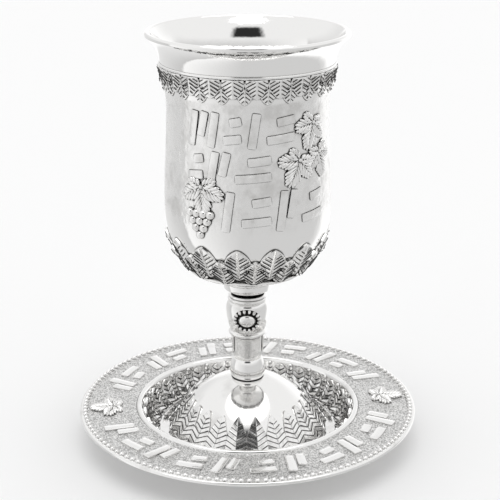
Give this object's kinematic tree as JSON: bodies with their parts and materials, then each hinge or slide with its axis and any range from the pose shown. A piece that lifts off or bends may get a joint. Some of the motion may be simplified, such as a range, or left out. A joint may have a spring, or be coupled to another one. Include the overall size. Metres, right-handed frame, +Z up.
{
  "type": "kiddush cup with saucer",
  "caption": "Silver goblet with leaf bands, grape and vine leaf relief and rows of raised strokes, standing in a beaded dish saucer.",
  "frame": {"origin": "middle of the saucer's flat underside, which stands on the table", "axes": "+Z up along the axis of the cup and saucer; the front, with the middle of the rows of strokes, is at -Y"},
  "size_m": [0.127, 0.127, 0.1532],
  "materials": {
    "cup_silver": "polished silver plate with dark oxidised recesses",
    "saucer_silver": "polished silver plate with a stippled satin rim and dark oxidised recesses"
  },
  "bodies": {
    "root": {"saucer": "saucer_silver", "bowl": "cup_silver", "stem": "cup_silver", "foot": "cup_silver"}
  },
  "joints": []
}
